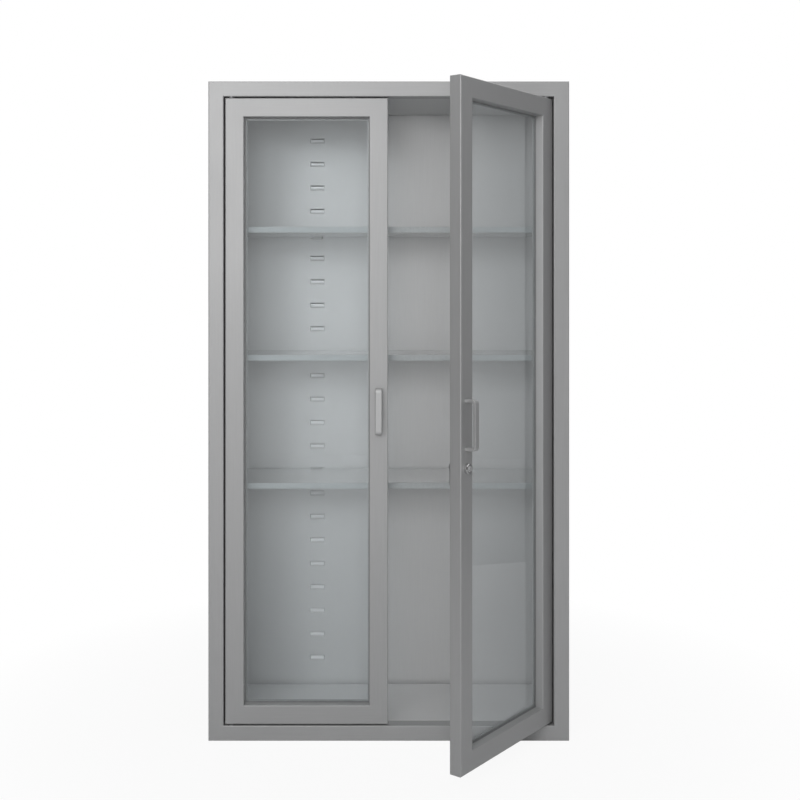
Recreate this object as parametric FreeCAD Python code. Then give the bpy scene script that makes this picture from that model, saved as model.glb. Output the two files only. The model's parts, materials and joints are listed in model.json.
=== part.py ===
"""Instrument cabinet with two glazed doors, in millimetres.

X runs to the viewer's right, Y from the front plane to the back, Z up from the floor.
The left door is closed and the right door stands open. The finished pieces are moved so that
the middle of the cabinet's base is the origin.
"""
import math
import os

import FreeCAD
import Part

V = FreeCAD.Vector

# Cabinet
WIDTH = 900.0
HEIGHT = 1645.0
DEPTH = 350.0
BACK_CAVITY = 42.0
SHEET = 1.2
FOLD_INSIDE = 1.2
FRAME_FACE = 38.0
FRAME_EDGE = 20.0
REAR_FLANGE = 20.0
TRAY_FLANGE = 16.0
BACK_MARGIN = 4.0
FLANGE = 12.0
SEAM = 0.4
CLEARANCE = 0.2
BACK_SHADOW_GAP = 10.0

# Doors
DOOR_GAP = 4.0
DOOR_THICKNESS = 31.0
MEMBER = 46.5
PIVOT_FROM_EDGE = 15.0
PIVOT_FROM_FACE = 10.5
PIN_RADIUS = 4.0
PIN_CLEARANCE = 0.06
PIN_REACH = 14.0
RIVET = 6.0
RIVET_WALL = 3.0
COLLAR = 2.0
COLLAR_WALL = 4.0
BUSH_WALL = 2.5
BUSH_FLANGE = 2.5
BUSH_PLAY = 0.5
RIGHT_DOOR_OPEN = 52.5
REVEAL_BEHIND = 3.0
GLASS = 5.0
GLASS_EDGE = 0.5
GASKET_LIP = 1.0
GASKET_SIGHT = 2.5
BEAD_WIDTH = 5.0
BEAD_DEPTH = 3.5

# Jambs that stop the doors
JAMB_CLEARANCE = 2.1
JAMB_HEM = 8.0
JAMB_FLANGE = 18.0
BUFFER_RADIUS = 4.5
BUFFER_MARGIN = 1.0
BUFFER_INSET = 152.0

# Shelves, and the slots that carry their clips
SLOT_WIDTH = 40.0
SLOT_HEIGHT = 14.0
SLOT_DEPTH = 8.0
SLOT_DRAFT = 2.5
SLOT_RAMP = 8.0
SLIT = 3.2
SLOT_PITCH = 65.0
SLOT_MARGIN = 69.5
BACK_SLOT_X = 201.0
SIDE_SLOT_SETBACK = 45.0
SHELF_THICKNESS = 15.0
SHELF_FRONT_GAP = 4.0
SHELF_BACK_GAP = 8.0
SHELF_END_GAP = 4.0
SHELF_CORNER = 6.0
SHELF_ARRIS = 1.0
SHELF_ROWS = {"upper": 4, "middle": 9, "lower": 14}
CLIP_SHEET = 2.0
CLIP_FOLD = 0.5
CLIP_PLAY = 1.5
CLIP_DROP = 0.5
CLIP_HOOK = 6.0
CLIP_LEDGE = 26.0
CLIP_CORNER = 5.0
PAD = 1.0
PAD_INSET = 4.0
PAD_LENGTH = 14.0

# Handles, lock and bolts
HANDLE_HEIGHT = 115.0
HANDLE_WIDTH = 16.0
HANDLE_REACH = 28.0
HANDLE_BAR = 7.0
HANDLE_FOLD = 2.5
HANDLE_EDGE = 1.0
SCREW_RADIUS = 2.0
SCREW_GRIP = 10.0
SCREW_HEAD = 2.6
LOCK_DROP = 97.5
LOCK_RADIUS = 11.75
LOCK_REACH = 8.0
LOCK_CHAMFER = 1.4
BARREL_RADIUS = 9.3
BARREL_TAIL = 3.0
PLUG_RADIUS = 6.5
PLUG_CLEARANCE = 0.08
PLUG_PROUD = 0.6
KEYWAY = 2.2
KEYWAY_HEIGHT = 8.4
KEYWAY_DEPTH = 6.0
NUT = 5.0
NUT_WALL = 3.7
CAM_CATCH = 15.0
CAM_WIDTH = 16.0
CAM_TAIL = 10.0
CAM_THICKNESS = 2.6
SPIGOT_RADIUS = 4.0
CAM_SCREW_RADIUS = 2.4
CAM_SCREW_HEAD = 3.0
STRIKE_HEIGHT = 50.0
STRIKE_SHEET = 1.5
STRIKE_BASE = 14.0
STRIKE_PLAY = 8.0
BOLT_RADIUS = 4.0
BOLT_CLEARANCE = 0.08
BOLT_SETBACK = 8.6
BOLT_LENGTH = 145.0
BOLT_INSET = 3.0
KNOB_RADIUS = 5.0
KNOB_REACH = 20.0
KNOB_RISE = 10.0
GUIDE_LENGTH = 60.0
GUIDE_WIDTH = 26.0
GUIDE_DROP = 53.0
GUIDE_WALL = 4.0
KEEPER_PLAY = 0.6
KEEPER_WALL = 1.2
KEEPER_LIP = 2.2
KEEPER_DEPTH = 7.0

# Lines that several pieces share
HALF = WIDTH / 2
OPEN_X = HALF - FRAME_FACE
OPEN_Z0 = FRAME_FACE
OPEN_Z1 = HEIGHT - FRAME_FACE
FRAME_RETURN = DOOR_THICKNESS + REVEAL_BEHIND
LINER_FRONT = FRAME_RETURN + SEAM
LINER_BACK = DEPTH - BACK_CAVITY
DOOR_OUT = OPEN_X - DOOR_GAP
DOOR_IN = DOOR_GAP / 2
DOOR_Z0 = OPEN_Z0 + DOOR_GAP
DOOR_Z1 = OPEN_Z1 - DOOR_GAP
SIGHT_OUT = DOOR_OUT - MEMBER
SIGHT_IN = DOOR_IN + MEMBER
SIGHT_Z0 = DOOR_Z0 + MEMBER
SIGHT_Z1 = DOOR_Z1 - MEMBER
GLASS_FRONT = DOOR_THICKNESS - BEAD_DEPTH - GASKET_LIP - GLASS
PIVOT_X = DOOR_OUT - PIVOT_FROM_EDGE
PIVOT_Y = PIVOT_FROM_FACE
HEEL = math.hypot(PIVOT_FROM_EDGE, DOOR_THICKNESS - PIVOT_FROM_FACE)
JAMB_FRONT = PIVOT_Y + HEEL + JAMB_CLEARANCE
BUFFER_X = PIVOT_X - PIVOT_FROM_EDGE - BUFFER_RADIUS - BUFFER_MARGIN
JAMB_IN = BUFFER_X - BUFFER_RADIUS - BUFFER_MARGIN
STILE_X = -(DOOR_IN + MEMBER / 2)
HANDLE_Z = HEIGHT / 2
LOCK_Z = HANDLE_Z - LOCK_DROP
BOLT_Y = LINER_FRONT + BOLT_SETBACK
SHELF_FRONT = JAMB_FRONT + JAMB_HEM + SHELF_FRONT_GAP
SHELF_BACK = LINER_BACK - SHELF_BACK_GAP
SHELF_X = OPEN_X - SHELF_END_GAP
SIDE_SLOT_Y = SHELF_FRONT + SIDE_SLOT_SETBACK
SLOT_COUNT = int((OPEN_Z1 - OPEN_Z0 - 2 * SLOT_MARGIN) / SLOT_PITCH + 0.001) + 1
SLOT_LEVELS = [OPEN_Z1 - SLOT_MARGIN - SLOT_PITCH * row for row in range(SLOT_COUNT)]
SHELF_LEVELS = {name: SLOT_LEVELS[row] for name, row in SHELF_ROWS.items()}


def in_plan(a, b):
    return V(a, b, 0)


def from_side(a, b):
    return V(0, a, b)


def from_front(a, b):
    return V(a, 0, b)


def box(x0, x1, y0, y1, z0, z1):
    return Part.makeBox(x1 - x0, y1 - y0, z1 - z0, V(x0, y0, z0))


def upright(radius, x, y, z0, z1):
    return Part.makeCylinder(radius, z1 - z0, V(x, y, z0))


def through_stile(radius, z, y0, y1):
    return Part.makeCylinder(radius, y1 - y0, V(STILE_X, y0, z), V(0, 1, 0))


def fused(shapes):
    return shapes[0].multiFuse(shapes[1:]).removeSplitter()


def mirrored(shape):
    return shape.mirror(V(0, 0, 0), V(1, 0, 0))


def upside_down(shape):
    return shape.mirror(V(0, 0, HEIGHT / 2), V(0, 0, 1))


def swung_open(shape):
    """Mirror a left-door shape to the right door and turn it to its open angle."""
    turned = mirrored(shape)
    turned.rotate(V(PIVOT_X, PIVOT_Y, 0), V(0, 0, 1), RIGHT_DOOR_OPEN)
    return turned


def corner_arc(before, corner, after, radius):
    """Start, middle and end of the arc that rounds one corner of an outline."""
    to_before = (before - corner).normalize()
    to_after = (after - corner).normalize()
    half_angle = to_before.getAngle(to_after) / 2
    reach = radius / math.tan(half_angle)
    bisector = (to_before + to_after).normalize()
    middle = corner + bisector * (radius / math.sin(half_angle) - radius)
    return [corner + to_before * reach, middle, corner + to_after * reach]


def outline(points, plane):
    """Flat face bounded by (a, b, corner radius) points laid in a plane."""
    places = [plane(a, b) for a, b, radius in points]
    count = len(points)
    corners = []
    for i, (a, b, radius) in enumerate(points):
        if radius > 0:
            corners.append(corner_arc(places[i - 1], places[i], places[(i + 1) % count], radius))
        else:
            corners.append([places[i]])
    edges = []
    for i, corner in enumerate(corners):
        if len(corner) == 3:
            edges.append(Part.Arc(*corner).toShape())
        following = corners[(i + 1) % count][0]
        if corner[-1].distanceToPoint(following) > 1e-6:
            edges.append(Part.makeLine(corner[-1], following))
    return Part.Face(Part.Wire(edges))


def rectangle(a0, a1, b0, b1, radius):
    return [(a0, b0, radius), (a1, b0, radius), (a1, b1, radius), (a0, b1, radius)]


def folded(path, sheet=SHEET, inside=FOLD_INSIDE):
    """Outline points of a sheet folded along a path; the metal lies to the left of the path."""
    shifts = []
    for (a0, b0), (a1, b1) in zip(path, path[1:]):
        length = math.hypot(a1 - a0, b1 - b0)
        shifts.append((-(b1 - b0) / length * sheet, (a1 - a0) / length * sheet))
    near = []
    far = []
    for i, (a, b) in enumerate(path):
        before = shifts[max(i - 1, 0)]
        after = shifts[min(i, len(shifts) - 1)]
        turn = before[0] * after[1] - before[1] * after[0]
        if abs(turn) < 1e-9:
            near.append((a, b, 0))
            far.append((a + after[0], b + after[1], 0))
        else:
            radii = (inside + sheet, inside) if turn > 0 else (inside, inside + sheet)
            near.append((a, b, radii[0]))
            far.append((a + before[0] + after[0], b + before[1] + after[1], radii[1]))
    return near + far[::-1]


def along_x(points, x0, x1):
    solid = outline(points, from_side).extrude(V(x1 - x0, 0, 0))
    solid.translate(V(x0, 0, 0))
    return solid


def along_y(points, y0, y1):
    solid = outline(points, from_front).extrude(V(0, y1 - y0, 0))
    solid.translate(V(0, y0, 0))
    return solid


def along_z(points, z0, z1):
    solid = outline(points, in_plan).extrude(V(0, 0, z1 - z0))
    solid.translate(V(0, 0, z0))
    return solid


def mitred(member, corners, depth):
    """Trim a frame member to the (x, z) corners that its mitres leave, seen from the front."""
    return member.common(along_y([(x, z, 0) for x, z in corners], -1, depth + 1))


parts = {}

# Outer shell: two full-height sides, a top tray and a base tray between them, and an inset back.
shell_front = FRAME_EDGE + SEAM
tray_back = DEPTH - SHEET - CLEARANCE
tray_x = HALF - SHEET - CLEARANCE
side_fold = folded([(-HALF + REAR_FLANGE, DEPTH), (-HALF, DEPTH), (-HALF, shell_front)])
outer_side = along_z(side_fold, 0, HEIGHT)
tray_fold = folded([
    (tray_back, HEIGHT - TRAY_FLANGE),
    (tray_back, HEIGHT),
    (shell_front, HEIGHT),
    (shell_front, HEIGHT - TRAY_FLANGE),
])
outer_top = along_x(tray_fold, -tray_x, tray_x)
back_y = tray_back - SHEET - CLEARANCE
back_x = HALF - BACK_MARGIN
parts["outer_left_side"] = outer_side
parts["outer_right_side"] = mirrored(outer_side)
parts["outer_top"] = outer_top
parts["outer_base"] = upside_down(outer_top)
parts["outer_back"] = box(-back_x, back_x, back_y - SHEET, back_y, BACK_MARGIN, HEIGHT - BACK_MARGIN)

# Face frame: folded channels mitred at the corners, with pivot holes in the rails.
stile_fold = folded([(-HALF, FRAME_EDGE), (-HALF, 0), (-OPEN_X, 0), (-OPEN_X, FRAME_RETURN)])
stile_corners = [(-HALF, 0), (-HALF, HEIGHT), (-OPEN_X, OPEN_Z1), (-OPEN_X, OPEN_Z0)]
frame_stile = mitred(along_z(stile_fold, 0, HEIGHT), stile_corners, FRAME_RETURN)
rail_fold = folded([(FRAME_EDGE, HEIGHT), (0, HEIGHT), (0, OPEN_Z1), (FRAME_RETURN, OPEN_Z1)])
rail_corners = [(-HALF, HEIGHT), (HALF, HEIGHT), (OPEN_X, OPEN_Z1), (-OPEN_X, OPEN_Z1)]
frame_rail = mitred(along_x(rail_fold, -HALF, HALF), rail_corners, FRAME_RETURN)
for pivot_x in (-PIVOT_X, PIVOT_X):
    pin_hole = upright(PIN_RADIUS + CLEARANCE / 2, pivot_x, PIVOT_Y, OPEN_Z1 - 1, OPEN_Z1 + SHEET + 1)
    frame_rail = frame_rail.cut(pin_hole)
parts["frame_left_stile"] = frame_stile
parts["frame_right_stile"] = mirrored(frame_stile)
parts["frame_top_rail"] = frame_rail
parts["frame_bottom_rail"] = upside_down(frame_rail)

# Recesses for the shelf clips, one column near the front of each side and two in the back. Each is pressed
# in the sheet, with a ramp at its bottom and a slit under its top, and is drawn at a wall in the plane Y = 0.
slot_half = SLOT_WIDTH / 2
slot_rise = SLOT_HEIGHT / 2
floor_half = slot_half - SLOT_DRAFT
floor_low = -slot_rise + SLOT_RAMP
slit_low = slot_rise - SLIT
clip_walls = [
    (V(-BACK_SLOT_X, LINER_BACK, 0), 0),
    (V(BACK_SLOT_X, LINER_BACK, 0), 0),
    (V(-OPEN_X, SIDE_SLOT_Y, 0), 90),
    (V(OPEN_X, SIDE_SLOT_Y, 0), -90),
]


def pressing(grow):
    """A recess that narrows to its floor, grown on all sides but the front."""
    return Part.makeWedge(
        -slot_half - grow, 0, -slot_rise - grow, floor_low - grow, -floor_half - grow,
        slot_half + grow, SLOT_DEPTH + grow, slot_rise + grow, slot_rise + grow, floor_half + grow)


def at_wall(shape, wall, level):
    place, turn = wall
    spot = FreeCAD.Placement(place + V(0, 0, level), FreeCAD.Rotation(V(0, 0, 1), turn))
    return shape.transformed(spot.toMatrix())


def with_recesses(sheet, walls):
    places = [(wall, level) for wall in walls for level in SLOT_LEVELS]
    slit = box(-floor_half, floor_half, SLOT_DEPTH - 1, SLOT_DEPTH + SHEET + 1, slit_low, slot_rise)
    pressed = fused([sheet] + [at_wall(pressing(SHEET), *place) for place in places])
    for hollow in (pressing(0), slit):
        pressed = pressed.cut(Part.makeCompound([at_wall(hollow, *place) for place in places]))
    return pressed


# Liner: recessed side walls and back, with a ceiling and a floor flush with the frame's opening that end in a
# shadow gap before the back.
wall_fold = folded([
    (-OPEN_X - FLANGE, LINER_FRONT),
    (-OPEN_X, LINER_FRONT),
    (-OPEN_X, LINER_BACK),
    (-OPEN_X - FLANGE, LINER_BACK),
])
liner_wall = along_z(wall_fold, OPEN_Z0 + CLEARANCE, OPEN_Z1 - CLEARANCE)
liner_wall = with_recesses(liner_wall, [clip_walls[2]])
ceiling_back = LINER_BACK - BACK_SHADOW_GAP
ceiling_fold = folded([
    (LINER_FRONT, OPEN_Z1 + FLANGE),
    (LINER_FRONT, OPEN_Z1),
    (ceiling_back, OPEN_Z1),
    (ceiling_back, OPEN_Z1 + FLANGE),
])
keeper_bore = BOLT_RADIUS + KEEPER_PLAY
keeper_radius = keeper_bore + KEEPER_WALL
liner_ceiling = along_x(ceiling_fold, -OPEN_X + CLEARANCE, OPEN_X - CLEARANCE)
keeper_hole = upright(keeper_radius + CLEARANCE / 2, STILE_X, BOLT_Y, OPEN_Z1 - 1, OPEN_Z1 + SHEET + 1)
liner_ceiling = liner_ceiling.cut(keeper_hole)
sheet_x = OPEN_X + FLANGE
sheet_z = OPEN_Z1 + FLANGE
back_sheet = box(-sheet_x, sheet_x, LINER_BACK, LINER_BACK + SHEET, HEIGHT - sheet_z, sheet_z)
parts["liner_left"] = liner_wall
parts["liner_right"] = mirrored(liner_wall)
parts["liner_ceiling"] = liner_ceiling
parts["liner_floor"] = upside_down(liner_ceiling)
parts["liner_back"] = with_recesses(back_sheet, clip_walls[:2])

# Jambs behind the hinge stiles, with rubber buffers that the closed doors meet.
jamb_out = OPEN_X - CLEARANCE
jamb_fold = folded([
    (-jamb_out, JAMB_FRONT + JAMB_FLANGE),
    (-jamb_out, JAMB_FRONT),
    (-JAMB_IN, JAMB_FRONT),
    (-JAMB_IN, JAMB_FRONT + JAMB_HEM),
])
jamb = along_z(jamb_fold, OPEN_Z0 + SEAM, OPEN_Z1 - SEAM)
parts["jamb_left"] = jamb
parts["jamb_right"] = mirrored(jamb)
buffer_tip = DOOR_THICKNESS + CLEARANCE
buffer_length = JAMB_FRONT - buffer_tip
buffers = []
for z in (OPEN_Z0 + BUFFER_INSET, HEIGHT / 2, OPEN_Z1 - BUFFER_INSET):
    buffer = Part.makeCylinder(BUFFER_RADIUS, buffer_length, V(-BUFFER_X, buffer_tip, z), V(0, 1, 0))
    rim = [edge for edge in buffer.Edges if edge.CenterOfMass.y < buffer_tip + 0.1]
    buffer = buffer.makeChamfer(0.25 * BUFFER_RADIUS, rim)
    buffers += [buffer, mirrored(buffer)]
parts["jamb_buffers"] = Part.makeCompound(buffers)

# Folded shelf clip with a soft pad, drawn at a wall in the plane Y = 0. It hooks through its recess's slit.
clip_half = floor_half - CLIP_PLAY
hook_front = SLOT_DEPTH + SHEET + SEAM
pad_top = -slot_rise - CLIP_DROP
ledge_top = pad_top - PAD
ledge_low = ledge_top - CLIP_SHEET
clip_fold = folded([
    (-CLIP_LEDGE, ledge_low),
    (-SEAM, ledge_low),
    (-SEAM, slit_low),
    (hook_front, slit_low),
    (hook_front, slit_low - CLIP_HOOK),
], CLIP_SHEET, CLIP_FOLD)
clip = along_x(clip_fold, -clip_half, clip_half)
tips = [e for e in clip.Edges if e.CenterOfMass.y < -CLIP_LEDGE + 0.1 and e.Length < CLIP_SHEET + 0.1]
clip = clip.makeFillet(CLIP_CORNER, tips)
pad_x = clip_half - PAD_INSET
pad_front = -CLIP_LEDGE + PAD_INSET
pad = box(-pad_x, pad_x, pad_front, pad_front + PAD_LENGTH, ledge_top, pad_top)

# Three glass shelves, each on four clips: two at the back and one at each side.
plate = along_z(rectangle(-SHELF_X, SHELF_X, SHELF_FRONT, SHELF_BACK, SHELF_CORNER), 0, SHELF_THICKNESS)
plate = plate.makeChamfer(SHELF_ARRIS, plate.Edges)
pads = []
for name, level in SHELF_LEVELS.items():
    shelf = plate.copy()
    shelf.translate(V(0, 0, level + pad_top))
    pads += [at_wall(pad, wall, level) for wall in clip_walls]
    parts[name + "_shelf"] = shelf
    parts[name + "_shelf_clips"] = Part.makeCompound([at_wall(clip, wall, level) for wall in clip_walls])
parts["shelf_pads"] = Part.makeCompound(pads)

# Pivot pins, riveted into the frame's rails above and below each door.
rivet_top = OPEN_Z0 - SHEET
low_pin = fused([
    upright(PIN_RADIUS, -PIVOT_X, PIVOT_Y, rivet_top - RIVET, DOOR_Z0 + PIN_REACH),
    upright(PIN_RADIUS + COLLAR_WALL, -PIVOT_X, PIVOT_Y, OPEN_Z0, OPEN_Z0 + COLLAR),
    upright(PIN_RADIUS + RIVET_WALL, -PIVOT_X, PIVOT_Y, rivet_top - RIVET, rivet_top),
])
left_pins = Part.makeCompound([low_pin, upside_down(low_pin)])
parts["left_pivot_pins"] = left_pins
parts["right_pivot_pins"] = mirrored(left_pins)

# Keepers in the ceiling and the floor for the left door's bolts.
keeper = fused([
    upright(keeper_radius + KEEPER_LIP, STILE_X, BOLT_Y, OPEN_Z1 - SHEET, OPEN_Z1),
    upright(keeper_radius, STILE_X, BOLT_Y, OPEN_Z1 - SHEET, OPEN_Z1 + KEEPER_DEPTH),
])
keeper = keeper.cut(upright(keeper_bore, STILE_X, BOLT_Y, OPEN_Z1 - SHEET - 1, OPEN_Z1 + KEEPER_DEPTH + 1))
parts["bolt_keepers"] = Part.makeCompound([keeper, upside_down(keeper)])


# Door frame, drawn for the closed left door: box tubes mitred at the corners.
def stile(x0, x1):
    wall = along_z(rectangle(x0, x1, 0, DOOR_THICKNESS, FOLD_INSIDE + SHEET), DOOR_Z0, DOOR_Z1)
    hollow = rectangle(x0 + SHEET, x1 - SHEET, SHEET, DOOR_THICKNESS - SHEET, FOLD_INSIDE)
    return wall.cut(along_z(hollow, DOOR_Z0 - 1, DOOR_Z1 + 1))


def rail(z0, z1):
    wall = along_x(rectangle(0, DOOR_THICKNESS, z0, z1, FOLD_INSIDE + SHEET), -DOOR_OUT, -DOOR_IN)
    hollow = rectangle(SHEET, DOOR_THICKNESS - SHEET, z0 + SHEET, z1 - SHEET, FOLD_INSIDE)
    return wall.cut(along_x(hollow, -DOOR_OUT - 1, -DOOR_IN + 1))


outer = [(-DOOR_OUT, DOOR_Z0), (-DOOR_OUT, DOOR_Z1), (-DOOR_IN, DOOR_Z1), (-DOOR_IN, DOOR_Z0)]
sight = [(-SIGHT_OUT, SIGHT_Z0), (-SIGHT_OUT, SIGHT_Z1), (-SIGHT_IN, SIGHT_Z1), (-SIGHT_IN, SIGHT_Z0)]
hinge_stile = mitred(stile(-DOOR_OUT, -SIGHT_OUT), [outer[0], outer[1], sight[1], sight[0]], DOOR_THICKNESS)
top_rail = mitred(rail(SIGHT_Z1, DOOR_Z1), [outer[1], outer[2], sight[2], sight[1]], DOOR_THICKNESS)
lock_stile = mitred(stile(-SIGHT_IN, -DOOR_IN), [outer[2], outer[3], sight[3], sight[2]], DOOR_THICKNESS)
bottom_rail = mitred(rail(DOOR_Z0, SIGHT_Z0), [outer[3], outer[0], sight[0], sight[3]], DOOR_THICKNESS)
bush_radius = PIN_RADIUS + BUSH_WALL
bush_hole = upright(bush_radius + CLEARANCE / 2, -PIVOT_X, PIVOT_Y, DOOR_Z0 - 1, DOOR_Z0 + SHEET + 1)
bottom_rail = bottom_rail.cut(bush_hole)
top_rail = top_rail.cut(upside_down(bush_hole))
screw_reach = (HANDLE_HEIGHT - HANDLE_BAR) / 2
screw_levels = [HANDLE_Z - screw_reach, HANDLE_Z + screw_reach]
for z in screw_levels:
    lock_stile = lock_stile.cut(through_stile(SCREW_RADIUS + CLEARANCE, z, -1, DOOR_THICKNESS + 1))
lock_hole = through_stile(BARREL_RADIUS + CLEARANCE, LOCK_Z, -1, DOOR_THICKNESS + 1)

# Glass near the back of the door in a thin rubber gasket, kept in place from behind by four beads.
gasket_front = GLASS_FRONT - GASKET_LIP
gasket_back = GLASS_FRONT + GLASS + GASKET_LIP
pane = box(
    -SIGHT_OUT + GLASS_EDGE, -SIGHT_IN - GLASS_EDGE,
    GLASS_FRONT, GLASS_FRONT + GLASS,
    SIGHT_Z0 + GLASS_EDGE, SIGHT_Z1 - GLASS_EDGE)
seal_outer = rectangle(-SIGHT_OUT, -SIGHT_IN, SIGHT_Z0, SIGHT_Z1, 0)
seal_inner = rectangle(
    -SIGHT_OUT + GASKET_SIGHT, -SIGHT_IN - GASKET_SIGHT,
    SIGHT_Z0 + GASKET_SIGHT, SIGHT_Z1 - GASKET_SIGHT, GASKET_SIGHT / 4)
gasket = along_y(seal_outer, gasket_front, gasket_back)
gasket = gasket.cut(along_y(seal_inner, gasket_front - 1, gasket_back + 1)).cut(pane)
bead_back = gasket_back + BEAD_DEPTH
bead_left = -SIGHT_OUT + BEAD_WIDTH
bead_right = -SIGHT_IN - BEAD_WIDTH
beads = Part.makeCompound([
    box(-SIGHT_OUT, bead_left, gasket_back, bead_back, SIGHT_Z0, SIGHT_Z1),
    box(bead_right, -SIGHT_IN, gasket_back, bead_back, SIGHT_Z0, SIGHT_Z1),
    box(bead_left, bead_right, gasket_back, bead_back, SIGHT_Z0, SIGHT_Z0 + BEAD_WIDTH),
    box(bead_left, bead_right, gasket_back, bead_back, SIGHT_Z1 - BEAD_WIDTH, SIGHT_Z1),
])

# Flanged bushes that run on the pivot pins; the lower one rests on its pin's collar.
bush_top = DOOR_Z0 + PIN_REACH + 1
low_bush = fused([
    upright(bush_radius + BUSH_FLANGE, -PIVOT_X, PIVOT_Y, OPEN_Z0 + COLLAR, DOOR_Z0),
    upright(bush_radius, -PIVOT_X, PIVOT_Y, OPEN_Z0 + COLLAR, bush_top),
])
low_bush = low_bush.cut(upright(PIN_RADIUS + PIN_CLEARANCE, -PIVOT_X, PIVOT_Y, OPEN_Z0, bush_top + 1))
play = upright(bush_radius + BUSH_FLANGE + 1, -PIVOT_X, PIVOT_Y, OPEN_Z0, OPEN_Z0 + COLLAR + BUSH_PLAY)
bushes = Part.makeCompound([low_bush, upside_down(low_bush.cut(play))])

# Bow handle of bent bar, screwed on from behind the stile.
grip_low = HANDLE_Z - HANDLE_HEIGHT / 2
grip_high = HANDLE_Z + HANDLE_HEIGHT / 2
grip_path = [(0, grip_high), (-HANDLE_REACH, grip_high), (-HANDLE_REACH, grip_low), (0, grip_low)]
grip_fold = folded(grip_path, HANDLE_BAR, HANDLE_FOLD)
handle = along_x(grip_fold, STILE_X - HANDLE_WIDTH / 2, STILE_X + HANDLE_WIDTH / 2)
sides = [e for e in handle.Edges if abs(e.CenterOfMass.x - STILE_X) > HANDLE_WIDTH / 2 - 0.1]
sides = [e for e in sides if e.CenterOfMass.y < -0.1]
handle = handle.makeChamfer(HANDLE_EDGE, sides)
handle_screws = []
for z in screw_levels:
    handle = handle.cut(through_stile(SCREW_RADIUS + CLEARANCE / 2, z, -SCREW_GRIP - 1, 1))
    handle_screws.append(fused([
        through_stile(SCREW_RADIUS, z, -SCREW_GRIP, DOOR_THICKNESS + SCREW_HEAD),
        through_stile(1.9 * SCREW_RADIUS, z, DOOR_THICKNESS, DOOR_THICKNESS + SCREW_HEAD),
    ]))

door = {
    "hinge_stile": hinge_stile,
    "lock_stile": lock_stile,
    "top_rail": top_rail,
    "bottom_rail": bottom_rail,
    "glass": pane,
    "gasket": gasket,
    "beads": beads,
    "pivot_bushes": bushes,
    "handle": handle,
    "handle_screws": Part.makeCompound(handle_screws),
}
for name, shape in door.items():
    parts["left_door_" + name] = shape
    parts["right_door_" + name] = swung_open(shape)
parts["right_door_lock_stile"] = swung_open(lock_stile.cut(lock_hole))

# Bolts on the back of the left door, one up into the ceiling and one down into the floor.
guide_back = BOLT_Y + BOLT_RADIUS + GUIDE_WALL
guide_left = STILE_X - GUIDE_WIDTH / 2
guide_right = STILE_X + GUIDE_WIDTH / 2
guide_top = DOOR_Z1 - GUIDE_DROP
guide_plan = [
    (guide_left, DOOR_THICKNESS, 0),
    (guide_right, DOOR_THICKNESS, 0),
    (guide_right, guide_back, GUIDE_WALL),
    (guide_left, guide_back, GUIDE_WALL),
]
guide_low = guide_top - GUIDE_LENGTH
guide = along_z(guide_plan, guide_low, guide_top)
guide = guide.cut(upright(BOLT_RADIUS + BOLT_CLEARANCE, STILE_X, BOLT_Y, guide_low - 1, guide_top + 1))
bolt_top = DOOR_Z1 - BOLT_INSET
bolt_low = bolt_top - BOLT_LENGTH
bolt = upright(BOLT_RADIUS, STILE_X, BOLT_Y, bolt_low, bolt_top)
bolt = bolt.makeChamfer(0.3 * BOLT_RADIUS, [e for e in bolt.Edges if e.CenterOfMass.z > bolt_top - 0.1])
knob_tip = BOLT_Y + KNOB_REACH
knob = through_stile(KNOB_RADIUS, bolt_low + KNOB_RISE, BOLT_Y, knob_tip)
knob = knob.makeChamfer(0.2 * KNOB_RADIUS, [e for e in knob.Edges if e.CenterOfMass.y > knob_tip - 0.1])
bolt = fused([bolt, knob])
parts["left_door_bolt_guides"] = Part.makeCompound([guide, upside_down(guide)])
parts["upper_bolt"] = bolt
parts["lower_bolt"] = upside_down(bolt)

# Cam lock through the right door's lock stile, drawn on the left like the door itself.
barrel_back = DOOR_THICKNESS + NUT + BARREL_TAIL
head = through_stile(LOCK_RADIUS, LOCK_Z, -LOCK_REACH, 0)
head = head.makeChamfer(LOCK_CHAMFER, [e for e in head.Edges if e.CenterOfMass.y < -LOCK_REACH + 0.1])
barrel = fused([head, through_stile(BARREL_RADIUS, LOCK_Z, -1, barrel_back)])
barrel = barrel.cut(through_stile(PLUG_RADIUS + PLUG_CLEARANCE, LOCK_Z, -LOCK_REACH - 1, barrel_back + 1))
nut_corner = BARREL_RADIUS + NUT_WALL
hexagon = []
for k in range(6):
    angle = math.radians(60 * k)
    hexagon.append((STILE_X + nut_corner * math.cos(angle), LOCK_Z + nut_corner * math.sin(angle), 0))
nut = along_y(hexagon, DOOR_THICKNESS, DOOR_THICKNESS + NUT)
nut = nut.cut(through_stile(BARREL_RADIUS + CLEARANCE / 2, LOCK_Z, 0, barrel_back))

# Plug with its keyway, and the cam that it turns; the cam hangs down when unlocked.
cam_front = barrel_back + SEAM
cam_back = cam_front + CAM_THICKNESS
cam_reach = MEMBER / 2 + DOOR_GAP + CAM_CATCH
plug_front = -LOCK_REACH - PLUG_PROUD
plug = fused([
    through_stile(PLUG_RADIUS, LOCK_Z, plug_front, cam_front),
    through_stile(SPIGOT_RADIUS, LOCK_Z, 0, cam_back),
])
keyway = box(
    STILE_X - KEYWAY / 2, STILE_X + KEYWAY / 2,
    plug_front - 1, plug_front + KEYWAY_DEPTH,
    LOCK_Z - KEYWAY_HEIGHT / 2, LOCK_Z + KEYWAY_HEIGHT / 2)
thread_front = cam_front - SCREW_GRIP
plug = plug.cut(keyway)
plug = plug.cut(through_stile(CAM_SCREW_RADIUS + CLEARANCE / 2, LOCK_Z, thread_front - 1, cam_back + 1))
cam_left = STILE_X - CAM_WIDTH / 2
cam_right = STILE_X + CAM_WIDTH / 2
cam_outline = rectangle(cam_left, cam_right, LOCK_Z - cam_reach, LOCK_Z + CAM_TAIL, CAM_WIDTH / 4)
cam = along_y(cam_outline, cam_front, cam_back)
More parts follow.
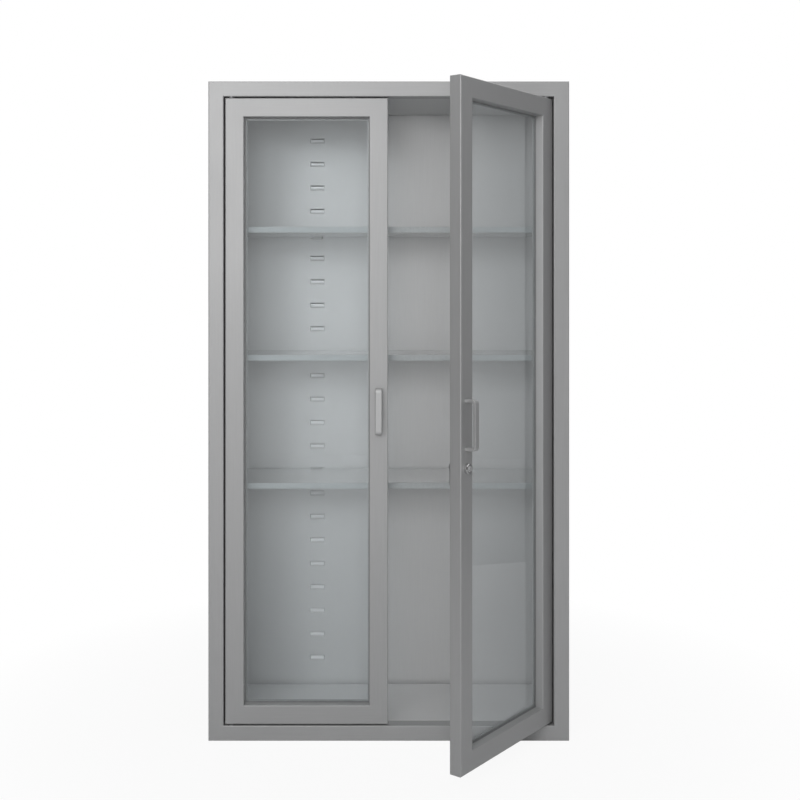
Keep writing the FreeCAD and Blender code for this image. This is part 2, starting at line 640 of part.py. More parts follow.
cam = cam.cut(through_stile(SPIGOT_RADIUS + CLEARANCE / 2, LOCK_Z, cam_front - 1, cam_back + 1))
cam_screw = fused([
    through_stile(CAM_SCREW_RADIUS, LOCK_Z, thread_front, cam_back + CAM_SCREW_HEAD),
    through_stile(SPIGOT_RADIUS + CAM_SCREW_HEAD, LOCK_Z, cam_back, cam_back + CAM_SCREW_HEAD),
])
parts["right_door_lock_barrel"] = swung_open(barrel)
parts["right_door_lock_nut"] = swung_open(nut)
parts["lock_plug"] = swung_open(plug)
parts["lock_cam"] = swung_open(cam)
parts["lock_cam_screw"] = swung_open(cam_screw)

# Strike on the back of the left door, which the turned cam reaches behind.
strike_x = -(DOOR_IN + CAM_CATCH + STRIKE_PLAY)
strike_lip = cam_front - SEAM - STRIKE_SHEET
strike_fold = folded([
    (strike_x - STRIKE_BASE, DOOR_THICKNESS),
    (strike_x, DOOR_THICKNESS),
    (strike_x, strike_lip),
    (-DOOR_IN - DOOR_GAP, strike_lip),
], STRIKE_SHEET)
parts["left_door_lock_strike"] = along_z(strike_fold, LOCK_Z - STRIKE_HEIGHT / 2, LOCK_Z + STRIKE_HEIGHT / 2)

os.makedirs("parts", exist_ok=True)
for name, shape in parts.items():
    shape.translate(V(0, -DEPTH / 2, 0))
    shape.exportStep("parts/%s.step" % name)
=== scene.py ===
import json
import math

import bpy
import bmesh
from mathutils import Matrix, Vector


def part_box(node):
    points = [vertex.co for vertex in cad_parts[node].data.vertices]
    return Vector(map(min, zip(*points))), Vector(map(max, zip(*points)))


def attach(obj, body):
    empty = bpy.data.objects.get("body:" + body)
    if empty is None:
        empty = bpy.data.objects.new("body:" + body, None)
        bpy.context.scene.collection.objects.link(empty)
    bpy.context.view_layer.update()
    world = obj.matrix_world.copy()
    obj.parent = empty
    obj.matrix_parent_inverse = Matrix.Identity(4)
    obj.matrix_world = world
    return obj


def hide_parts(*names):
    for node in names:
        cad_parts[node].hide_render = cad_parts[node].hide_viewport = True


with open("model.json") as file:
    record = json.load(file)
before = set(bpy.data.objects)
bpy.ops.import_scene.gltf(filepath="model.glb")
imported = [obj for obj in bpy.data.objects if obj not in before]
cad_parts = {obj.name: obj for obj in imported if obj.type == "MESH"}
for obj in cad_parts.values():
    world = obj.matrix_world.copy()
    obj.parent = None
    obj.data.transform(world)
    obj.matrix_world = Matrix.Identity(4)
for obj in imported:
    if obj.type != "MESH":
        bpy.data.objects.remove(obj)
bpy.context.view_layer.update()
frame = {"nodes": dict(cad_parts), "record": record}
nodes = frame["nodes"]
scene = bpy.context.scene
scene.view_settings.view_transform = "Standard"

# The photographer's place: a level 50 mm lens, a little right of the cabinet's middle and above
# its handles. The picture is cropped so that the horizon lies above its centre.
camera_data = bpy.data.cameras.new("camera")
camera_data.lens = 50.0
camera_data.sensor_width = 36.0
camera_data.shift_y = -0.135
camera = bpy.data.objects.new("camera", camera_data)
camera.location = (0.028, -2.945, 1.1195)
camera.rotation_euler = (math.radians(90), 0, 0)
scene.collection.objects.link(camera)
scene.camera = camera


# A white studio with a soft sky, which is a little brighter in front. What the camera, the metal and
# the glass see behind the object is plain white.
def fill_inputs(tree, node, values):
    """Sets a node's inputs in order, each from a plain number or from another node's output."""
    for socket, value in zip(node.inputs, values):
        if isinstance(value, float):
            socket.default_value = value
        else:
            tree.links.new(value, socket)


def math_node(tree, operation, *values):
    node = tree.nodes.new("ShaderNodeMath")
    node.operation = operation
    fill_inputs(tree, node, values)
    return node.outputs[0]


def map_range(tree, value, from_range, to_range=(0.0, 1.0)):
    """Carries a value over from one range to another, and holds it at the ends."""
    node = tree.nodes.new("ShaderNodeMapRange")
    node.inputs["From Min"].default_value, node.inputs["From Max"].default_value = from_range
    node.inputs["To Min"].default_value, node.inputs["To Max"].default_value = to_range
    tree.links.new(value, node.inputs["Value"])
    return node.outputs["Result"]


def mixed_shader(tree, share, first, second):
    node = tree.nodes.new("ShaderNodeMixShader")
    fill_inputs(tree, node, (share, first, second))
    return node.outputs[0]


def seen_directly(tree):
    """1 for a camera ray, and 1 for any ray that shows the background, by metal or glass too."""
    path = tree.nodes.new("ShaderNodeLightPath")
    to_camera = path.outputs["Is Camera Ray"]
    passed_on = math_node(tree, "MAXIMUM", path.outputs["Is Glossy Ray"], path.outputs["Is Transmission Ray"])
    return to_camera, math_node(tree, "MAXIMUM", to_camera, passed_on)


world = bpy.data.worlds.new("studio")
scene.world = world
world.use_nodes = True
sky = world.node_tree
sky.nodes.clear()
brightest_way = Vector((-0.3, -0.93, 0.2)).normalized()
sky_strengths = (0.62, 0.715)
sky_place = sky.nodes.new("ShaderNodeTexCoord")
sky_front = sky.nodes.new("ShaderNodeVectorMath")
sky_front.operation = "DOT_PRODUCT"
sky_front.inputs[1].default_value = brightest_way
sky.links.new(sky_place.outputs["Generated"], sky_front.inputs[0])
soft_sky = sky.nodes.new("ShaderNodeBackground")
soft_sky.inputs["Color"].default_value = (0.97, 0.98, 1.0, 1)
sky_level = map_range(sky, sky_front.outputs["Value"], (0.0, 1.0), sky_strengths)
sky.links.new(sky_level, soft_sky.inputs["Strength"])
white_sky = sky.nodes.new("ShaderNodeBackground")
white_sky.inputs["Color"].default_value = (1, 1, 1, 1)
white_sky.inputs["Strength"].default_value = 1.0
sky_mix = mixed_shader(sky, seen_directly(sky)[1], soft_sky.outputs[0], white_sky.outputs[0])
sky_out = sky.nodes.new("ShaderNodeOutputWorld")
sky.links.new(sky_mix, sky_out.inputs["Surface"])


# Two soft boxes: a large one high on the left, and a near one in front of the middle, which only matt
# surfaces see.
def soft_box(name, place, aim, width, height, power):
    data = bpy.data.lights.new(name, "AREA")
    data.shape = "RECTANGLE"
    data.size = width
    data.size_y = height
    data.energy = power
    lamp = bpy.data.objects.new(name, data)
    lamp.location = place
    lamp.rotation_euler = (Vector(aim) - Vector(place)).to_track_quat("-Z", "Y").to_euler()
    scene.collection.objects.link(lamp)
    return lamp


soft_box("key_box", place=(-1.75, -4.4, 2.3), aim=(-0.1, 0.0, 1.1), width=1.5, height=1.2, power=28)
front_box = soft_box("front_box", place=(-0.1, -2.6, 1.55), aim=(-0.3, 0.0, 1.3), width=0.9, height=0.9,
                     power=6.4)
front_box.data.spread = math.radians(100)
front_box.visible_glossy = False
front_box.visible_transmission = False


# Three flags of matt cloth stand round the set, out of the picture: one at each side keeps the sides
# of the metal calm, and one behind the camera dims the cabinet's right.
def plain_sheet(name, corners):
    mesh = bpy.data.meshes.new(name)
    mesh.from_pydata(corners, [], [(0, 1, 2, 3)])
    sheet = bpy.data.objects.new(name, mesh)
    scene.collection.objects.link(sheet)
    return sheet


def shaded_material(name, settings):
    """A new material, its node tree, and its shader with the settings."""
    material = bpy.data.materials.new(name)
    material.use_nodes = True
    tree = material.node_tree
    shader = tree.nodes["Principled BSDF"]
    for label, value in settings.items():
        shader.inputs[label].default_value = value
    return material, tree, shader


def without_gloss(name, gray):
    """A plain matt gray material, its node tree and its shader."""
    matt = {"Base Color": (gray, gray, gray, 1), "Roughness": 1.0, "Specular IOR Level": 0.0}
    return shaded_material(name, matt)


flag_height = 2.8
flags = (
    ("left_flag", 0.03, (-2.1, -3.6), (-2.1, 1.6)),
    ("right_flag", 0.40, (2.1, -2.4), (2.1, 1.6)),
    ("front_flag", 0.12, (0.4, -4.2), (2.6, -3.3)),
)
for name, gray, (x0, y0), (x1, y1) in flags:
    flag = plain_sheet(name, [(x0, y0, 0), (x1, y1, 0), (x1, y1, flag_height), (x0, y0, flag_height)])
    flag_cloth = without_gloss(name + "_cloth", gray)[0]
    flag.data.materials.append(flag_cloth)
    flag.visible_camera = False
    flag.visible_transmission = False

# The studio floor: a broad pale sheet that keeps a faint shadow of the cabinet, and runs out into
# the white of the background.
floor_reach = 9.0
floor_low = -0.0006
floor_gray = 0.90
fade_distances = (0.5, 5.0)
white_share = 0.92
floor_signs = ((-1, -1), (1, -1), (1, 1), (-1, 1))
floor = plain_sheet("studio_floor", [(x * floor_reach, y * floor_reach, floor_low) for x, y in floor_signs])
floor_paper, paper, paper_shader = without_gloss("floor_paper", floor_gray)
paper_place = paper.nodes.new("ShaderNodeTexCoord")
paper_distance = paper.nodes.new("ShaderNodeVectorMath")
paper_distance.operation = "LENGTH"
paper.links.new(paper_place.outputs["Object"], paper_distance.inputs[0])
paper_fade = map_range(paper, paper_distance.outputs["Value"], fade_distances)
paper_fade.node.interpolation_type = "SMOOTHSTEP"
to_camera, directly = seen_directly(paper)
paper_far = math_node(paper, "MULTIPLY", paper_fade, directly)
paper_lift = math_node(paper, "MULTIPLY_ADD", to_camera, white_share, paper_far)
paper_lift.node.use_clamp = True
paper_white = paper.nodes.new("ShaderNodeEmission")
paper_white.inputs["Color"].default_value = (1, 1, 1, 1)
paper_mix = mixed_shader(paper, paper_lift, paper_shader.outputs[0], paper_white.outputs[0])
paper.links.new(paper_mix, paper.nodes["Material Output"].inputs["Surface"])
floor.data.materials.append(floor_paper)

# Outer shell: two folded sides, a top and a base tray, and a flat back, all of satin stainless
# sheet. The grain of the sheet runs up the sides, and along the trays.
up_grain = (900.0, 900.0, 14.0)
cross_grain = (14.0, 900.0, 900.0)
noise_range = (0.3, 0.7)


def new_socket(tree, name, way, kind, value=None):
    socket = tree.interface.new_socket(name=name, in_out=way, socket_type=kind)
    if value is not None:
        socket.default_value = value


def object_noise(tree, scale, detail, stretch=None):
    """Noise over the object's own coordinates, multiplied by the stretch where there is one."""
    place = tree.nodes.new("ShaderNodeTexCoord").outputs["Object"]
    if stretch is not None:
        drawn = tree.nodes.new("ShaderNodeVectorMath")
        drawn.operation = "MULTIPLY"
        fill_inputs(tree, drawn, (place, stretch))
        place = drawn.outputs[0]
    noise = tree.nodes.new("ShaderNodeTexNoise")
    noise.inputs["Scale"].default_value = scale
    noise.inputs["Detail"].default_value = detail
    tree.links.new(place, noise.inputs["Vector"])
    return noise.outputs["Fac"]


def satin_grain_group():
    """Fine drawn-out scratches and slow cloudy change, as on rolled and brushed stainless sheet."""
    tree = bpy.data.node_groups.new("satin_grain", "ShaderNodeTree")
    new_socket(tree, "Stretch", "INPUT", "NodeSocketVector", up_grain)
    new_socket(tree, "Depth", "INPUT", "NodeSocketFloat", 1.0)
    new_socket(tree, "Color", "INPUT", "NodeSocketColor", (0.5, 0.5, 0.5, 1))
    new_socket(tree, "Roughness", "INPUT", "NodeSocketFloat", 0.4)
    new_socket(tree, "Color", "OUTPUT", "NodeSocketColor")
    new_socket(tree, "Roughness", "OUTPUT", "NodeSocketFloat")
    new_socket(tree, "Height", "OUTPUT", "NodeSocketFloat")
    into = tree.nodes.new("NodeGroupInput")
    out = tree.nodes.new("NodeGroupOutput")
    depth = into.outputs["Depth"]
    scratch = object_noise(tree, scale=1.0, detail=3.0, stretch=into.outputs["Stretch"])
    cloud = object_noise(tree, scale=4.0, detail=2.0)

    def change(noise, most):
        return map_range(tree, noise, noise_range, (-most, most))

    streak = math_node(tree, "MULTIPLY", change(scratch, most=0.035), depth)
    shade = math_node(tree, "ADD", math_node(tree, "ADD", streak, change(cloud, most=0.012)), 1.0)
    tone = tree.nodes.new("ShaderNodeVectorMath")
    tone.operation = "SCALE"
    tree.links.new(into.outputs["Color"], tone.inputs[0])
    tree.links.new(shade, tone.inputs["Scale"])
    polish = math_node(tree, "ADD", into.outputs["Roughness"], change(cloud, most=0.03))
    tree.links.new(tone.outputs[0], out.inputs["Color"])
    tree.links.new(math_node(tree, "ADD", polish, streak), out.inputs["Roughness"])
    tree.links.new(math_node(tree, "MULTIPLY", scratch, depth), out.inputs["Height"])
    return tree


satin_grain = satin_grain_group()


def fine_relief(tree, height, strength):
    """The normal of a surface that the height roughens by up to 0.2 mm."""
    bump = tree.nodes.new("ShaderNodeBump")
    bump.inputs["Strength"].default_value = strength
    bump.inputs["Distance"].default_value = 0.0002
    tree.links.new(height, bump.inputs["Height"])
    return bump.outputs["Normal"]


def sheet_metal(name, color, stretch, roughness, metallic, depth=1.0):
    """Metal with the satin grain, drawn out by the stretch and as strong as the depth."""
    material, tree, shader = shaded_material(name, {"Metallic": metallic})
    grain = tree.nodes.new("ShaderNodeGroup")
    grain.node_tree = satin_grain
    settings = {"Stretch": stretch, "Depth": depth, "Color": (*color, 1), "Roughness": roughness}
    for label, value in settings.items():
        grain.inputs[label].default_value = value
    tree.links.new(grain.outputs["Color"], shader.inputs["Base Color"])
    tree.links.new(grain.outputs["Roughness"], shader.inputs["Roughness"])
    tree.links.new(fine_relief(tree, grain.outputs["Height"], strength=0.04), shader.inputs["Normal"])
    return material


def dress(material, *names):
    for name in names:
        mesh = nodes[name].data
        mesh.materials.clear()
        mesh.materials.append(material)


satin = {"roughness": 0.45, "metallic": 0.45}
shell_color = (0.50, 0.50, 0.50)
shell_upright = sheet_metal("shell_sheet_upright", shell_color, up_grain, **satin)
shell_level = sheet_metal("shell_sheet_level", shell_color, cross_grain, **satin)
dress(shell_upright, "outer_left_side", "outer_right_side", "outer_back")
dress(shell_level, "outer_top", "outer_base")

# Blind rivets join the back to the rear flanges of the top and base trays. Their heads of bare steel
# are low domes, which stay within the depth of the sides' rear flanges.
bare_steel = sheet_metal("bare_steel", (0.40, 0.40, 0.41), up_grain, roughness=0.38, metallic=0.9, depth=1.4)
rearward = (0.0, 1.0, 0.0)


def vector_node(tree, *parts):
    node = tree.nodes.new("ShaderNodeCombineXYZ")
    fill_inputs(tree, node, parts)
    return node.outputs[0]


def placed(tree, mesh, move=None, scale=None):
    node = tree.nodes.new("GeometryNodeTransform")
    tree.links.new(mesh, node.inputs["Geometry"])
    if move is not None:
        tree.links.new(move, node.inputs["Translation"])
    if scale is not None:
        tree.links.new(scale, node.inputs["Scale"])
    return node.outputs["Geometry"]


def dome(tree, radius, height):
    """A low round head whose lower half sits in the metal."""
    ball = tree.nodes.new("GeometryNodeMeshUVSphere")
    ball.inputs["Segments"].default_value = 20
    ball.inputs["Rings"].default_value = 10
    ball.inputs["Radius"].default_value = 1.0
    return placed(tree, ball.outputs["Mesh"], scale=vector_node(tree, radius, radius, height))


def fastener_tree(name, sizes, shape):
    """Sets one shape, made from named sizes, on each point of a mesh, with its top along Axis."""
    tree = bpy.data.node_groups.new(name, "GeometryNodeTree")
    new_socket(tree, "Places", "INPUT", "NodeSocketGeometry")
    for label, value in sizes.items():
        new_socket(tree, label, "INPUT", "NodeSocketFloat", value)
    new_socket(tree, "Axis", "INPUT", "NodeSocketVector", rearward)
    new_socket(tree, "Finish", "INPUT", "NodeSocketMaterial")
    new_socket(tree, "Heads", "OUTPUT", "NodeSocketGeometry")
    into = tree.nodes.new("NodeGroupInput")
    out = tree.nodes.new("NodeGroupOutput")
    aim = tree.nodes.new("FunctionNodeAlignRotationToVector")
    aim.axis = "Z"
    spread = tree.nodes.new("GeometryNodeInstanceOnPoints")
    real = tree.nodes.new("GeometryNodeRealizeInstances")
    finish = tree.nodes.new("GeometryNodeSetMaterial")
    tree.links.new(into.outputs["Axis"], aim.inputs["Vector"])
    tree.links.new(into.outputs["Places"], spread.inputs["Points"])
    tree.links.new(shape(tree, into.outputs), spread.inputs["Instance"])
    tree.links.new(aim.outputs["Rotation"], spread.inputs["Rotation"])
    tree.links.new(spread.outputs["Instances"], real.inputs["Geometry"])
    tree.links.new(real.outputs["Geometry"], finish.inputs["Geometry"])
    tree.links.new(into.outputs["Finish"], finish.inputs["Material"])
    tree.links.new(finish.outputs["Geometry"], out.inputs["Heads"])
    return tree


def set_fasteners(name, tree, body, places, axis, **sizes):
    """One mesh of like fasteners of bare steel, facing along axis, that rides on a body."""
    mesh = bpy.data.meshes.new(name + "_places")
    mesh.from_pydata(places, [], [])
    piece = bpy.data.objects.new(name, mesh)
    scene.collection.objects.link(piece)
    heads = piece.modifiers.new("heads", "NODES")
    heads.node_group = tree
    sockets = {item.name: item.identifier for item in tree.interface.items_tree if item.in_out == "INPUT"}
    for label, value in sizes.items():
        heads[sockets[label.replace("_", " ").title()]] = value
    heads[sockets["Axis"]] = axis
    heads[sockets["Finish"]] = bare_steel
    evaluated = piece.evaluated_get(bpy.context.evaluated_depsgraph_get())
    finished = bpy.data.meshes.new_from_object(evaluated)
    piece.modifiers.remove(heads)
    piece.data = finished
    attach(piece, body)
    return piece


def rivet_shape(tree, sizes):
    return dome(tree, sizes["Head Radius"], sizes["Head Height"])


def spaced(low, high, inset, count):
    """Even steps between two ends, of which the first and the last stay an inset away."""
    step = (high - low - 2 * inset) / (count - 1)
    return [low + inset + i * step for i in range(count)]


rivet_tree = fastener_tree("rivet_heads", {"Head Radius": 0.004, "Head Height": 0.001}, rivet_shape)
tray_low, tray_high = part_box("outer_top")
base_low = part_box("outer_base")[0]
rivet_from_edge = 0.0085
rivet_levels = (base_low[2] + rivet_from_edge, tray_high[2] - rivet_from_edge)
rivet_row = spaced(tray_low[0], tray_high[0], inset=0.045, count=9)
rivet_places = [(x, tray_high[1], z) for z in rivet_levels for x in rivet_row]
set_fasteners("tray_rivets", rivet_tree, "cabinet", rivet_places, rearward,
              head_radius=0.0036, head_height=0.0011)

# Face frame: folded stainless channels, mitred and welded at the corners, with the welds ground
# flush. The grain follows each member.
frame_color = (0.455, 0.455, 0.455)
frame_upright = sheet_metal("frame_steel_upright", frame_color, up_grain, **satin)
frame_level = sheet_metal("frame_steel_level", frame_color, cross_grain, **satin)
dress(frame_upright, "frame_left_stile", "frame_right_stile")
dress(frame_level, "frame_top_rail", "frame_bottom_rail")

# Liner: walls with pressed recesses, a ceiling, a floor and the jambs, of the same sheet with a duller face.
# The floor's copy of the sheet is painted paler: painted light, for the light that falls on it from above.
# Spot welds along the flanges hold it to the shell.
dull = {"roughness": 0.5, "metallic": 0.25, "depth": 0.6}
liner_color = (0.60, 0.60, 0.60)
# Painted light: the floor is a paler copy of the liner sheet.
floor_painted_light_color = (0.74, 0.74, 0.74)
liner_upright = sheet_metal("liner_sheet_upright", liner_color, up_grain, **dull)
liner_level = sheet_metal("liner_sheet_level", liner_color, cross_grain, **dull)
painted_light_floor_sheet = sheet_metal("liner_sheet_floor_painted_light", floor_painted_light_color, cross_grain, **dull)
dress(liner_upright, "liner_left", "liner_right", "jamb_left", "jamb_right")
dress(liner_level, "liner_ceiling")
dress(painted_light_floor_sheet, "liner_floor")

# The liner's back, of the same dull sheet. The floors and slopes of its pressed recesses are painted paler
# than the sheet around them: painted light, which lifts the shade inside the recesses and stands in for the
# light on their lower slopes.
recess_painted_light_color = (0.86, 0.86, 0.86)
back_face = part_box("liner_back")[0][1]
pressed_range = (back_face + 0.0015, back_face + 0.005)
back_sheet = sheet_metal("liner_sheet_back", liner_color, up_grain, **dull)
back_tree = back_sheet.node_tree
back_color = back_tree.nodes["Principled BSDF"].inputs["Base Color"]
back_place = back_tree.nodes.new("ShaderNodeTexCoord")
back_parts = back_tree.nodes.new("ShaderNodeSeparateXYZ")
back_tree.links.new(back_place.outputs["Object"], back_parts.inputs["Vector"])
pressed = map_range(back_tree, back_parts.outputs["Y"], pressed_range)
recess_painted_light = back_tree.nodes.new("ShaderNodeMix")
recess_painted_light.data_type = "RGBA"
recess_painted_light_inputs = {socket.identifier: socket for socket in recess_painted_light.inputs}
recess_painted_light_outputs = {socket.identifier: socket for socket in recess_painted_light.outputs}
# Painted light: the pale colour given to the shaded recess floors.
recess_painted_light_inputs["B_Color"].default_value = (*recess_painted_light_color, 1)
back_tree.links.new(pressed, recess_painted_light.inputs["Factor"])
back_tree.links.new(back_color.links[0].from_socket, recess_painted_light_inputs["A_Color"])
back_tree.links.new(recess_painted_light_outputs["Result_Color"], back_color)
dress(back_sheet, "liner_back")

# Shelf clips folded from plain steel strip, hooked through the slits of the recesses. The turned pins
# on which the doors pivot and the keepers for the bolts are of bare steel.
clip_steel = sheet_metal("clip_steel", (0.62, 0.62, 0.62), up_grain, roughness=0.45, metallic=0.3)
dress(clip_steel, "upper_shelf_clips", "middle_shelf_clips", "lower_shelf_clips")
dress(bare_steel, "left_pivot_pins", "right_pivot_pins", "bolt_keepers")


# Rubber buffers on the jambs, which the closed doors meet, and soft pads on the shelf clips. All are
# moulded in dark rubber with a fine speckle.
def speckled(tree, scale, dark, light):
    """Fine noise, and a colour that runs from dark to light with it."""
    noise = object_noise(tree, scale, detail=2.0)
    ramp = tree.nodes.new("ShaderNodeValToRGB")
    for element, position, color in zip(ramp.color_ramp.elements, noise_range, (dark, light)):
        element.position = position
        element.color = (*color, 1)
    tree.links.new(noise, ramp.inputs["Fac"])
    return noise, ramp.outputs["Color"]


def rubber(name, color):
    """Matt moulded rubber or plastic, whose specks are a fifth darker and lighter than its colour."""
    material, tree, shader = shaded_material(name, {"Roughness": 0.65})
    dark = [0.8 * c for c in color]
    light = [1.2 * c for c in color]
    speckle, shades = speckled(tree, 700.0, dark, light)
    tree.links.new(shades, shader.inputs["Base Color"])
    tree.links.new(fine_relief(tree, speckle, strength=0.15), shader.inputs["Normal"])
    return material


dark_rubber = rubber("dark_rubber", (0.03, 0.03, 0.032))
dress(dark_rubber, "jamb_buffers", "shelf_pads")

# Three thick shelves of float glass, almost without colour, lying on the clips' pads. Their edges are ground
# with small arrises and left matt, so they catch the light evenly. The rear edges are painted paler: painted
# light that lifts the shade the shelves cast on them.
glass_ior = 1.5


def clear_glass(name, tint, smudge, shade):
    """Clear glass with a faint film on it, which lets shade times the light through to what is behind."""
    plain = {"Base Color": (*tint, 1), "Transmission Weight": 1.0, "IOR": glass_ior}
    material, tree, shader = shaded_material(name, plain)
    film = object_noise(tree, scale=6.0, detail=4.0)
    haze = map_range(tree, film, (0.35, 0.75), (0.0, smudge))
    tree.links.new(haze, shader.inputs["Roughness"])
    path = tree.nodes.new("ShaderNodeLightPath")
    clear = tree.nodes.new("ShaderNodeBsdfTransparent")
    clear.inputs["Color"].default_value = (*[shade * c for c in tint], 1)
    mix = mixed_shader(tree, path.outputs["Is Shadow Ray"], shader.outputs[0], clear.outputs[0])
    tree.links.new(mix, tree.nodes["Material Output"].inputs["Surface"])
    return material


def ground_glass(name, color, color_spread):
    """The matt pale face that grinding leaves on glass."""
    plain = {"Roughness": 0.55, "Transmission Weight": 0.35, "IOR": glass_ior}
    material, tree, shader = shaded_material(name, plain)
    dark = [c - color_spread for c in color]
    light = [c + color_spread for c in color]
    wheel_marks = speckled(tree, 260.0, dark, light)[1]
    tree.links.new(wheel_marks, shader.inputs["Base Color"])
    return material


shelf_glass = clear_glass("shelf_glass", (0.985, 0.992, 0.992), smudge=0.03, shade=0.5)
shelf_edge = ground_glass("shelf_edge", (0.47, 0.495, 0.50), color_spread=0.03)
# Painted light: the rear edges are paler to lift the shade that falls on them.
shelf_rear_painted_light = ground_glass("shelf_rear_painted_light", (0.80, 0.82, 0.82), color_spread=0.03)
clear_face, ground_face, rear_face = range(3)
shelf_corner = 0.006
shelf_corner_steps = 6
shelf_arris = 0.0009
shelf_arris_steps = 2
flat_slope = 0.99
steep_slope = 0.5


def eased(slab, edges, size, steps):
    bmesh.ops.bevel(slab, geom=edges, offset=size, segments=steps, profile=0.5, affect="EDGES")


def bends(edge):
    """Whether a level face and an upright one meet at this edge."""
    slopes = [abs(face.normal.z) for face in edge.link_faces]
    return len(slopes) == 2 and abs(slopes[0] - slopes[1]) > steep_slope


for shelf in ("upper_shelf", "middle_shelf", "lower_shelf"):
    low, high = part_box(shelf)
    slab = bmesh.new()
    bmesh.ops.create_cube(slab, size=1.0)
    for vertex in slab.verts:
        vertex.co = [low[i] if vertex.co[i] < 0 else high[i] for i in range(3)]
    uprights = [edge for edge in slab.edges if abs(edge.verts[0].co.z - edge.verts[1].co.z) > shelf_arris]
    eased(slab, uprights, shelf_corner, shelf_corner_steps)
    eased(slab, [edge for edge in slab.edges if bends(edge)], shelf_arris, shelf_arris_steps)
    slab.normal_update()
    for face in slab.faces:
        if abs(face.normal.z) > flat_slope:
            face.material_index = clear_face
        elif face.normal.y > steep_slope:
            face.material_index = rear_face
        else:
            face.material_index = ground_face
    mesh = bpy.data.meshes.new(shelf + "_pane")
    slab.to_mesh(mesh)
    slab.free()
    for finish in (shelf_glass, shelf_edge, shelf_rear_painted_light):
        mesh.materials.append(finish)
    pane = bpy.data.objects.new(shelf + "_pane", mesh)
    scene.collection.objects.link(pane)
    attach(pane, "cabinet")
    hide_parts(shelf)

# Door frames: box tubes of stainless sheet, mitred, welded and ground, the same on both doors. Plastic
# bushes in their corners run on the pivot pins.
door_color = (0.45, 0.45, 0.45)
door_upright = sheet_metal("door_steel_upright", door_color, up_grain, **satin)
door_level = sheet_metal("door_steel_level", door_color, cross_grain, **satin)
bush_plastic = rubber("bush_plastic", (0.06, 0.06, 0.06))
doors = ("left_door", "right_door")
for door in doors:
    dress(door_upright, door + "_hinge_stile", door + "_lock_stile")
    dress(door_level, door + "_top_rail", door + "_bottom_rail")
    dress(bush_plastic, door + "_pivot_bushes")

# Glazing: one pane near the back of each door in a thin gray gasket, held from behind by steel beads.
# Small screws with low domed heads and cross recesses hold the beads.
wing_length = 1.1
wing_width = 0.22


def screw_shape(tree, sizes):
    """A low domed head with a cross recess, on its shank. The wings' sizes are shares of its radius."""
    head_radius = sizes["Head Radius"]
    head_height = sizes["Head Height"]
    cut = tree.nodes.new("GeometryNodeMeshBoolean")
    cut.operation = "DIFFERENCE"
    cut.solver = "EXACT"
    cut.inputs["Self Intersection"].default_value = True
    tree.links.new(dome(tree, head_radius, head_height), cut.inputs["Mesh 1"])
    long_side = math_node(tree, "MULTIPLY", head_radius, wing_length)
    short_side = math_node(tree, "MULTIPLY", head_radius, wing_width)
    for width, length in ((long_side, short_side), (short_side, long_side)):
        wing = tree.nodes.new("GeometryNodeMeshCube")
        tree.links.new(vector_node(tree, width, length, head_height), wing.inputs["Size"])
        raised = placed(tree, wing.outputs["Mesh"], move=vector_node(tree, 0.0, 0.0, head_height))
        tree.links.new(raised, cut.inputs["Mesh 2"])
    shank = tree.nodes.new("GeometryNodeMeshCylinder")
    shank.inputs["Vertices"].default_value = 12
    tree.links.new(sizes["Shank Radius"], shank.inputs["Radius"])
    tree.links.new(sizes["Shank Length"], shank.inputs["Depth"])
    half_down = math_node(tree, "MULTIPLY", sizes["Shank Length"], -0.5)
    sunk = placed(tree, shank.outputs["Mesh"], move=vector_node(tree, 0.0, 0.0, half_down))
    both = tree.nodes.new("GeometryNodeJoinGeometry")
    tree.links.new(cut.outputs["Mesh"], both.inputs["Geometry"])
    tree.links.new(sunk, both.inputs["Geometry"])
    return both.outputs["Geometry"]


screw_tree = fastener_tree("cross_screws", {
    "Head Radius": 0.002, "Head Height": 0.0005, "Shank Radius": 0.001, "Shank Length": 0.006}, screw_shape)
hinge = next(j for j in frame["record"]["behaviour"]["joints"] if j["name"] == "right_door_hinge")
open_angle = -math.radians(hinge["range_deg"][0])
hinge_line = Vector((hinge["pos_m"][0], hinge["pos_m"][1], 0.0))
opening = Matrix.Rotation(open_angle, 4, "Z")


def on_both_doors(name, tree, places, **sizes):
    """Fasteners on the back of the closed left door, and mirrored on that of the open right door."""
    swung = [hinge_line + opening @ (Vector((-x, y, z)) - hinge_line) for x, y, z in places]
    swung_axis = tuple(opening @ Vector(rearward))
    return [set_fasteners("left_" + name, tree, "left_door", places, rearward, **sizes),
            set_fasteners("right_" + name, tree, "right_door", swung, swung_axis, **sizes)]


door_glass = clear_glass("door_glass", (0.94, 0.965, 0.975), smudge=0.02, shade=1.0)
gasket_rubber = rubber("gasket_rubber", (0.28, 0.28, 0.28))
for door in doors:
    dress(door_glass, door + "_glass")
    dress(gasket_rubber, door + "_gasket")
    dress(door_upright, door + "_beads")
bead_low, bead_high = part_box("left_door_beads")
bead_half = 0.0025
bead_ends = 0.06
bead_places = []
for z in spaced(bead_low[2], bead_high[2], bead_ends, count=8):
    bead_places += [(x, bead_high[1], z) for x in (bead_low[0] + bead_half, bead_high[0] - bead_half)]
for x in spaced(bead_low[0], bead_high[0], bead_ends, count=3):
    bead_places += [(x, bead_high[1], z) for z in (bead_low[2] + bead_half, bead_high[2] - bead_half)]
on_both_doors("bead_screws", screw_tree, bead_places, head_radius=0.0019, head_height=0.0004,
              shank_radius=0.0009, shank_length=0.003)
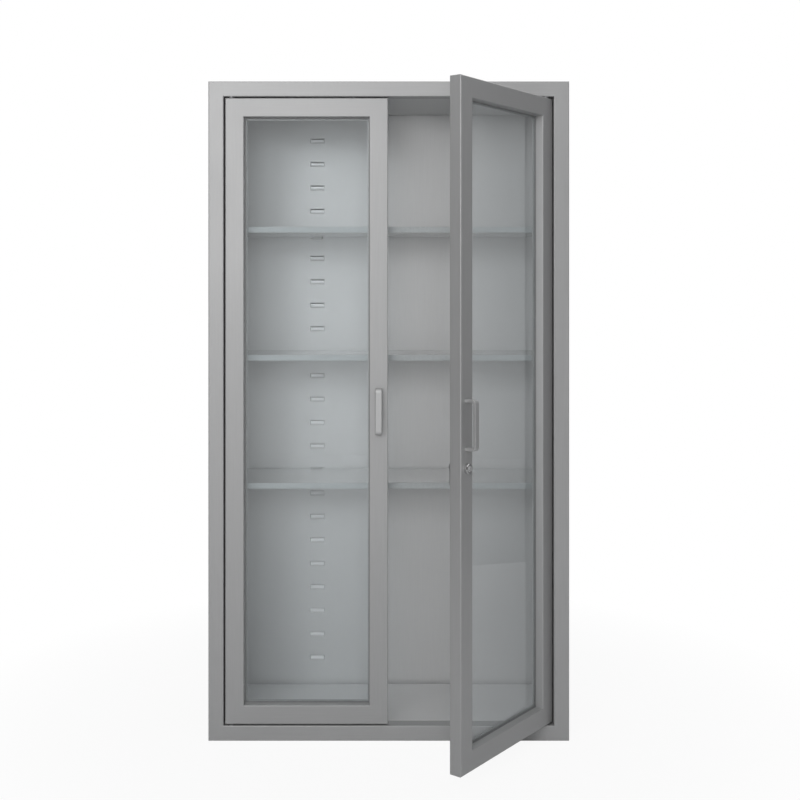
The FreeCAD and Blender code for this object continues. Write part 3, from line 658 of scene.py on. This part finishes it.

# Bow handles bent from flat bar, brushed finer than the doors, with a screw up each leg from behind the
# stile. Their steel is also painted paler than the doors: a painted highlight for the light on the bar.
# Painted highlight: the handle's colour is paler than the door steel.
handle_steel = sheet_metal("handle_steel", (0.52, 0.52, 0.52), up_grain,
                           roughness=0.35, metallic=0.5, depth=0.8)
for door in doors:
    dress(handle_steel, door + "_handle")
screw_low, screw_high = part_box("left_door_handle_screws")
door_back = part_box("left_door_lock_stile")[1][1]
screw_radius = (screw_high[0] - screw_low[0]) / 2
screw_x = (screw_low[0] + screw_high[0]) / 2
screw_places = [(screw_x, door_back, z) for z in (screw_low[2] + screw_radius, screw_high[2] - screw_radius)]
handle_screws = on_both_doors("handle_screw_set", screw_tree, screw_places, head_radius=screw_radius,
                              head_height=screw_high[1] - door_back, shank_radius=0.002,
                              shank_length=door_back - screw_low[1])
for piece, door in zip(handle_screws, doors):
    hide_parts(door + "_handle_screws")

# Bolts in their guides behind the left door, with the strike that the lock's cam reaches. Guides and
# strike are screwed to the stile.
dress(bare_steel, "left_door_bolt_guides", "upper_bolt", "lower_bolt", "left_door_lock_strike")
guide_low, guide_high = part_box("left_door_bolt_guides")
guide_length = 0.060
guide_screw_ends = 0.010
guide_screw_sides = 0.0052
guide_spans = ((guide_low[2], guide_low[2] + guide_length), (guide_high[2] - guide_length, guide_high[2]))
guide_levels = [z for low, high in guide_spans for z in (low + guide_screw_ends, high - guide_screw_ends)]
guide_columns = (guide_low[0] + guide_screw_sides, guide_high[0] - guide_screw_sides)
guide_places = [(x, guide_high[1], z) for z in guide_levels for x in guide_columns]
set_fasteners("guide_screws", screw_tree, "left_door", guide_places, rearward, head_radius=0.0028,
              head_height=0.0008, shank_radius=0.0015, shank_length=0.012)
strike_low, strike_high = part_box("left_door_lock_strike")
strike_sheet = 0.0015
strike_screw_side = 0.006
strike_screw_ends = 0.011
strike_places = [(strike_low[0] + strike_screw_side, strike_low[1] + strike_sheet, z)
                 for z in (strike_low[2] + strike_screw_ends, strike_high[2] - strike_screw_ends)]
set_fasteners("strike_screws", screw_tree, "left_door", strike_places, rearward, head_radius=0.003,
              head_height=0.0009, shank_radius=0.0015, shank_length=0.006)

# Cam lock in the right door: a turned barrel and plug, both chromed, pushed through the stile from the front.
# The plug's chrome is painted paler and less mirror-like than the barrel's: a painted highlight on its face.
# A plain nut holds the barrel behind it, and a screw holds the cam on the plug.
turned_grain = (300.0, 300.0, 300.0)
# Painted highlight: the plug's chrome is paler and more matt than the barrel's.
lock_chrome = sheet_metal("lock_chrome", (0.80, 0.80, 0.80), turned_grain,
                          roughness=0.28, metallic=0.6, depth=0.4)
barrel_chrome = sheet_metal("barrel_chrome", (0.62, 0.62, 0.62), turned_grain,
                            roughness=0.14, metallic=1.0, depth=0.4)
dress(barrel_chrome, "right_door_lock_barrel")
dress(lock_chrome, "lock_plug")
dress(bare_steel, "right_door_lock_nut", "lock_cam", "lock_cam_screw")
